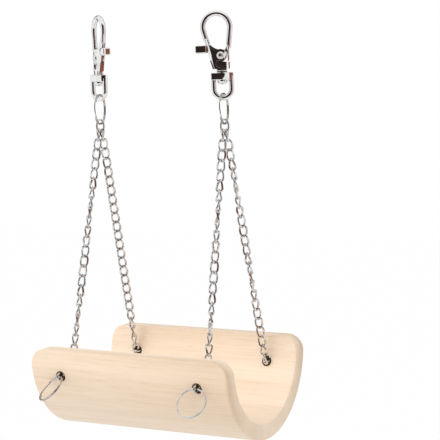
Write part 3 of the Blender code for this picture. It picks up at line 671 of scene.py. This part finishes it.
for side in leans:
    hook = bmesh.new()
    section = bmesh.ops.create_circle(hook, cap_ends=True, segments=20, radius=hook_bar / 2)["verts"]
    bmesh.ops.rotate(hook, matrix=Matrix.Rotation(nose_lean, 3, "Y"), verts=section)
    shoulder = eye_middle + Vector((math.cos(nose_lean), 0.0, -math.sin(nose_lean))) * eye_line
    climb = Vector((math.sin(nose_lean), 0.0, math.cos(nose_lean)))
    climb *= (shoulder.z - nose_end) / math.cos(nose_lean)
    bmesh.ops.translate(hook, vec=shoulder - climb, verts=section)
    ends = draw_out(hook, hook.faces[:], climb)
    ends = turn_out(hook, ends, eye_middle, (0, -1, 0), math.pi + spine_lean + nose_lean, steps=48)
    draw_out(hook, ends, spine_at(slot_top) - spine_at(eye_middle.z - eye_line * math.sin(spine_lean)))
    clear_inside(hook)
    bmesh.ops.recalc_face_normals(hook, faces=hook.faces[:])
    bar_piece = make_piece("hook bar", hook, clasp_chrome)
    gate_sweep = bmesh.new()
    bmesh.ops.create_cone(gate_sweep, cap_ends=True, segments=64, radius1=tip_reach + tip_gap,
                          radius2=tip_reach + tip_gap, depth=3 * hook_depth,
                          matrix=Matrix.Translation(pivot) @ quarter_turn.to_4x4())
    carve(bar_piece, gate_sweep, clasp_chrome)

    spine_foot = spine_at(hook_foot, back_edge).x
    outline = [(spine_foot, hook_foot), (body_half, hook_foot), (body_half, block_top)]
    outline += arc_points(pivot, cheek_round, start=-75.0, end=125.0, steps=26)
    for level, out in ((cheek_top, spine_inset), (spine_top - spine_taper, spine_inset),
                       (spine_top, 0.0), (spine_top - spine_taper, back_edge)):
        outline.append((spine_at(level, out).x, level))
    body = bmesh.new()
    for way in (-1.0, 1.0):
        cheek = cut_plate(outline, way * slot_half, way * hook_depth / 2)
        slope_flank(cheek)
        cheek_piece = make_piece("cheek", cheek, clasp_chrome)
        pocket = bmesh.new()
        bmesh.ops.create_cube(pocket, size=1.0)
        bmesh.ops.scale(pocket, vec=(pocket_width, 2 * pocket_depth, pocket_height), verts=pocket.verts[:])
        round_edges(pocket, edges_along(pocket, "y"), pocket_corner, segments=4)
        pocket_place = pocket_middle + Vector((0.0, way * hook_depth / 2, 0.0))
        bmesh.ops.translate(pocket, vec=pocket_place, verts=pocket.verts[:])
        carve(cheek_piece, pocket, clasp_chrome)
        soften(cheek_piece, cheek_edge, segments=5, limit=edge_limit)
        absorb(body, cheek_piece)
    floor_outline = [(spine_foot, hook_foot), (body_half - floor_inset, hook_foot),
                     (body_half - floor_inset, block_top), (slot_front, block_top), (slot_front, slot_floor),
                     (spine_at(hook_foot, back_edge - back_wall_foot).x, slot_floor),
                     (spine_at(back_high, back_edge - back_wall_top).x, back_high),
                     (spine_at(back_high, back_edge).x, back_high)]
    floor = cut_plate(floor_outline, -slot_half - floor_lap, slot_half + floor_lap)
    absorb(body, make_piece("slot floor", floor, clasp_chrome))
    for low, high, half in neck_steps:
        neck = cut_plate([(-half, low), (half, low), (half, high), (-half, high)], -neck_half, neck_half)
        neck_piece = make_piece("squared neck", neck, clasp_chrome)
        soften(neck_piece, neck_edge, segments=2, limit=edge_limit)
        absorb(body, neck_piece)
    stem_line = [(0.0, 0.0, hook_foot), (stem_radius, 0.0, hook_foot)]
    stem_line.append((stem_radius, 0.0, -bail_bar - head_dome[0][1]))
    stem_line += [(reach, 0.0, -bail_bar - below) for reach, below in head_dome]
    absorb(body, make_piece("stem", turn_profile(stem_line, (0, 0, 1), steps=32), clasp_chrome))
    absorb(body, bar_piece)
    bmesh.ops.transform(body, matrix=stances[side], verts=body.verts[:])
    cast_hook = make_piece(side + "_cast_hook", body, clasp_chrome, crease=edge_limit)
    seat(cast_hook, side + "_hook", "clasp_chrome", side + "_hook")

# Levers: chromed trigger levers. A plate turns on the rivet between the cheeks, a thicker gate bar closes
# the eye against the hook's nose, and a rounded thumb piece stands out behind the spine. A short heel
# below it closes the slot's mouth.
gate_reach = 0.00465
gate_half = 0.0014
gate_gap = 0.000275
gate_edge = 0.0003
gate_low = block_top + gate_gap
gate_inner = cheek_round + gate_gap
gate_flat_top = pivot.z + 0.3 * gate_reach
gate_chamfer_height = 0.3 * cheek_round
gate_chamfer_width = 0.15 * cheek_round
lever_half = 0.00075
lever_round = 0.52 * gate_reach
lever_edge = 0.0002
tab_low = pivot.z + 0.28 * gate_reach
tab_root = spine_at(tab_low, back_edge).x
tab_length = 0.0054
tab_height = 0.0034
tab_width = 0.0035
tab_corner = 0.0007
tab_edge = 0.0004
thumb_length = 0.92 * tab_length
thumb_middle = tab_root - 0.54 * tab_length
scoop_middle = pivot + Vector((0.28 * gate_reach, 0.0, 2.13 * gate_reach))
scoop_round = 1.62 * gate_reach
heel_top = tab_low + 0.0004
heel_foot = 0.0062
heel_outer = back_edge - 0.0005
heel_inner = back_edge - 0.0010
heel_half = slot_half - 0.0001
lever_chrome = plated_finish("lever chrome", bright=(0.84, 0.83, 0.82), dull=(0.74, 0.72, 0.70),
                             smooth=0.03, worn=0.08, bump=0.04)
for side in leans:
    tab_top = tab_low + tab_height
    tab_middle = tab_root - 0.5 * tab_length
    scoop_end = math.degrees(math.asin((scoop_middle.z - tab_top) / scoop_round)) - 180.0
    outline = arc_points(pivot, tip_reach, start=40.0, end=53.0, steps=6)
    outline += arc_points(scoop_middle, scoop_round, start=-84.0, end=scoop_end, steps=14)
    outline += [(tab_root, tab_top), (tab_middle, tab_top), (tab_middle, tab_low), (tab_root, tab_low)]
    outline += arc_points(pivot, lever_round, start=215.0, end=375.0, steps=14)
    lever_piece = make_piece("lever plate", cut_plate(outline, -lever_half, lever_half), lever_chrome)
    soften(lever_piece, lever_edge, segments=2, limit=edge_limit)
    gate_outline = arc_points(pivot, tip_reach, start=55.0, end=39.0, steps=6)
    gate_outline += [(body_half, gate_flat_top), (body_half, gate_low + gate_chamfer_height),
                     (body_half - gate_chamfer_width, gate_low), (pivot.x + gate_inner, gate_low)]
    gate_outline += arc_points(pivot, gate_inner, start=0.0, end=50.0, steps=8)
    gate = cut_plate(gate_outline, -gate_half, gate_half)
    slope_flank(gate)
    gate_piece = make_piece("gate bar", gate, lever_chrome)
    soften(gate_piece, gate_edge, segments=3, limit=edge_limit)
    heel_outline = []
    for level, out in ((heel_top, heel_outer), (heel_foot, heel_outer),
                       (heel_foot, heel_inner), (heel_top, heel_inner)):
        heel_outline.append((spine_at(level, out).x, level))
    heel_piece = make_piece("heel", cut_plate(heel_outline, -heel_half, heel_half), lever_chrome)
    thumb = bmesh.new()
    bmesh.ops.create_cube(thumb, size=1.0)
    bmesh.ops.scale(thumb, vec=(thumb_length, tab_width, tab_height), verts=thumb.verts[:])
    round_edges(thumb, edges_along(thumb, "y"), tab_corner, segments=5)
    round_edges(thumb, edges_across(thumb, "y"), tab_edge, segments=3)
    bmesh.ops.translate(thumb, vec=(thumb_middle, 0.0, tab_low + tab_height / 2), verts=thumb.verts[:])
    for piece in (lever_piece, gate_piece, heel_piece):
        absorb(thumb, piece)
    bmesh.ops.transform(thumb, matrix=stances[side], verts=thumb.verts[:])
    lever = make_piece(side + "_trigger", thumb, lever_chrome, crease=edge_limit)
    seat(lever, side + "_lever", "lever_chrome", side + "_lever")

# Rivets: steel pins through both cheeks and the lever, which turns on them. Both ends are headed over
# to a low dome with a satin face.
rivet_pin = 0.00072
rivet_dome = ((0.0, 0.00265), (0.0006, 0.00258), (0.00115, 0.00236), (0.00155, 0.00202), (0.0017, 0.00175))
rivet_steel = plated_finish("rivet steel", bright=(0.86, 0.85, 0.84), dull=(0.72, 0.71, 0.70),
                            smooth=0.32, worn=0.42, bump=0.05)
for side in leans:
    near_end = [(reach, level, 0.0) for reach, level in (*rivet_dome, (rivet_pin, rivet_dome[-1][1]))]
    far_end = [(reach, -level, 0.0) for reach, level, _ in reversed(near_end)]
    pin = turn_profile(near_end + far_end, (0, 1, 0), steps=28)
    bmesh.ops.transform(pin, matrix=stances[side] @ Matrix.Translation(pivot), verts=pin.verts[:])
    rivet = make_piece(side + "_rivet", pin, rivet_steel)
    seat(rivet, side + "_hook", "rivet_steel", side + "_lever_rivet")

# Lever springs: small coils of drawn wire standing on the slot's floor under the lever's thumb side.
# Each is pressed together as its lever opens, and pushes it shut again.
spring_line = 0.000625
spring_wire = 0.00025
spring_turns = 4
spring_facets = 18
spring_rise = 0.002615
spring_play = 0.00015
spring_base = Vector((pivot.x - 0.45 * gate_reach, 0.0, slot_floor + spring_play + spring_wire / 2))
spring_steel = plated_finish("spring steel", bright=(0.55, 0.55, 0.57), dull=(0.35, 0.35, 0.37),
                             smooth=0.2, worn=0.35, bump=0.1)
for side in leans:
    coil = bmesh.new()
    section = bmesh.ops.create_circle(coil, cap_ends=True, segments=8, radius=spring_wire / 2)["verts"]
    bmesh.ops.rotate(coil, matrix=quarter_turn, verts=section)
    bmesh.ops.translate(coil, vec=(spring_line, 0.0, 0.0), verts=section)
    steps = spring_facets * spring_turns
    turn_out(coil, coil.faces[:], (0, 0, 0), (0, 0, 1), 2 * math.pi * spring_turns, steps,
             (0, 0, spring_rise / steps))
    clear_inside(coil)
    bmesh.ops.transform(coil, matrix=stances[side] @ Matrix.Translation(spring_base), verts=coil.verts[:])
    spring = make_piece(side + "_coil", coil, spring_steel)
    seat(spring, side + "_hook", "spring_steel", side + "_lever_spring")
    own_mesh(spring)

# Stage: a white sweep far below the hanging swing in a white room, lit by two soft boxes. The plated metal
# mirrors three cards outside the picture: a dark one on the viewer's side, a brown one to the right and
# a grey one behind.
floor_reach = 4.0
floor_drop = 0.60
paper_white = 0.965
room_light = 0.80
swing_middle = pipe_middle + Vector((0.0, 0.0, 0.0587))


def toward(azimuth, elevation):
    around = math.radians(azimuth)
    up = math.radians(elevation)
    return Vector((math.sin(around) * math.cos(up), -math.cos(around) * math.cos(up), math.sin(up)))


def seen_white(tree):
    ray = lay(tree, "LightPath")
    seen = reckon(tree, "MAXIMUM", ray.outputs["Is Camera Ray"], ray.outputs["Is Glossy Ray"])
    return reckon(tree, "MAXIMUM", seen, ray.outputs["Is Transmission Ray"])


sweep = bmesh.new()
bmesh.ops.create_grid(sweep, x_segments=1, y_segments=1, size=floor_reach)
bmesh.ops.translate(sweep, vec=(pipe_middle.x, 0.0, -floor_drop), verts=sweep.verts[:])
floor_paper, tree, shader = new_finish("white paper")
shader.inputs["Base Color"].default_value = (1.0, 1.0, 1.0, 1.0)
shader.inputs["Roughness"].default_value = 0.9
glow = lay(tree, "Emission", {"Color": (1.0, 1.0, 1.0, 1.0), "Strength": 1.0})
white_share = reckon(tree, "MULTIPLY", seen_white(tree), paper_white)
paper = lay(tree, "MixShader", {0: white_share, 1: shader.outputs[0], 2: glow.outputs[0]})
tree.links.new(paper.outputs[0], tree.nodes["Material Output"].inputs["Surface"])
make_piece("stage_floor", sweep, floor_paper)

for name, azimuth, elevation, distance, width, height, colour in (
        ("dark_card", 17.0, 6.0, 1.1, 1.85, 2.2, (0.028, 0.020, 0.018)),
        ("brown_card", 80.0, -5.0, 0.9, 0.42, 2.1, (0.28, 0.098, 0.068)),
        ("grey_card_back", 205.0, 4.0, 0.9, 1.90, 1.3, (0.20, 0.165, 0.155))):
    back = toward(azimuth, elevation)
    card = bmesh.new()
    bmesh.ops.create_grid(card, x_segments=1, y_segments=1, size=0.5)
    bmesh.ops.scale(card, vec=(width, height, 1.0), verts=card.verts[:])
    facing = back.to_track_quat("Z", "Y").to_matrix().to_4x4()
    facing.translation = swing_middle + back * distance
    bmesh.ops.transform(card, matrix=facing, verts=card.verts[:])
    felt, tree, shader = new_finish(name)
    shader.inputs["Base Color"].default_value = (0.0, 0.0, 0.0, 1.0)
    shader.inputs["Emission Color"].default_value = (*colour, 1.0)
    shader.inputs["Emission Strength"].default_value = 1.0
    shader.inputs["Specular IOR Level"].default_value = 0.0
    reflector = make_piece(name, card, felt)
    reflector.visible_camera = False
    reflector.visible_diffuse = False
    reflector.visible_shadow = False

world = bpy.data.worlds.new("white room")
bpy.context.scene.world = world
world.use_nodes = True
tree = world.node_tree
room = tree.nodes["Background"]
room.inputs["Color"].default_value = (1.0, 1.0, 1.0, 1.0)
tree.links.new(ramp(tree, seen_white(tree), 0.0, 1.0, least=room_light), room.inputs["Strength"])

for name, azimuth, elevation, distance, size, power in (
        ("softbox_key", -30.0, 38.0, 0.9, 0.7, 4.5),
        ("softbox_fill", 70.0, 30.0, 1.0, 0.6, 1.1)):
    back = toward(azimuth, elevation)
    softbox = bpy.data.lights.new(name, "AREA")
    softbox.shape = "SQUARE"
    softbox.size = size
    softbox.energy = power
    lamp = bpy.data.objects.new(name, softbox)
    lamp.location = swing_middle + back * distance
    lamp.visible_glossy = False
    lamp.rotation_mode = "QUATERNION"
    lamp.rotation_quaternion = back.to_track_quat("Z", "Y")
    bpy.context.scene.collection.objects.link(lamp)

# Camera: a long lens from the front right, a little above the trough, rolled slightly.
camera_azimuth = 28.759
camera_elevation = 5.943
camera_roll = math.radians(-1.419)
camera_distance = 0.698757
camera_aim = pipe_middle + Vector((0.028243, 0.0, 0.059437))
picture_pixels = 440.0
focal_pixels = 1574.3
back = toward(camera_azimuth, camera_elevation)
right = Vector((-back.y, back.x, 0.0)).normalized()
up = back.cross(right)
right_rolled = right * math.cos(camera_roll) + up * math.sin(camera_roll)
up_rolled = up * math.cos(camera_roll) - right * math.sin(camera_roll)
lens = bpy.data.cameras.new("photo camera")
lens.sensor_width = 36.0
lens.lens = focal_pixels / picture_pixels * lens.sensor_width
camera = bpy.data.objects.new("photo_camera", lens)
bpy.context.scene.collection.objects.link(camera)
stand = Matrix((right_rolled, up_rolled, back)).transposed().to_4x4()
stand.translation = camera_aim + back * camera_distance
camera.matrix_world = stand
bpy.context.scene.camera = camera
bpy.context.scene.view_settings.view_transform = "Standard"
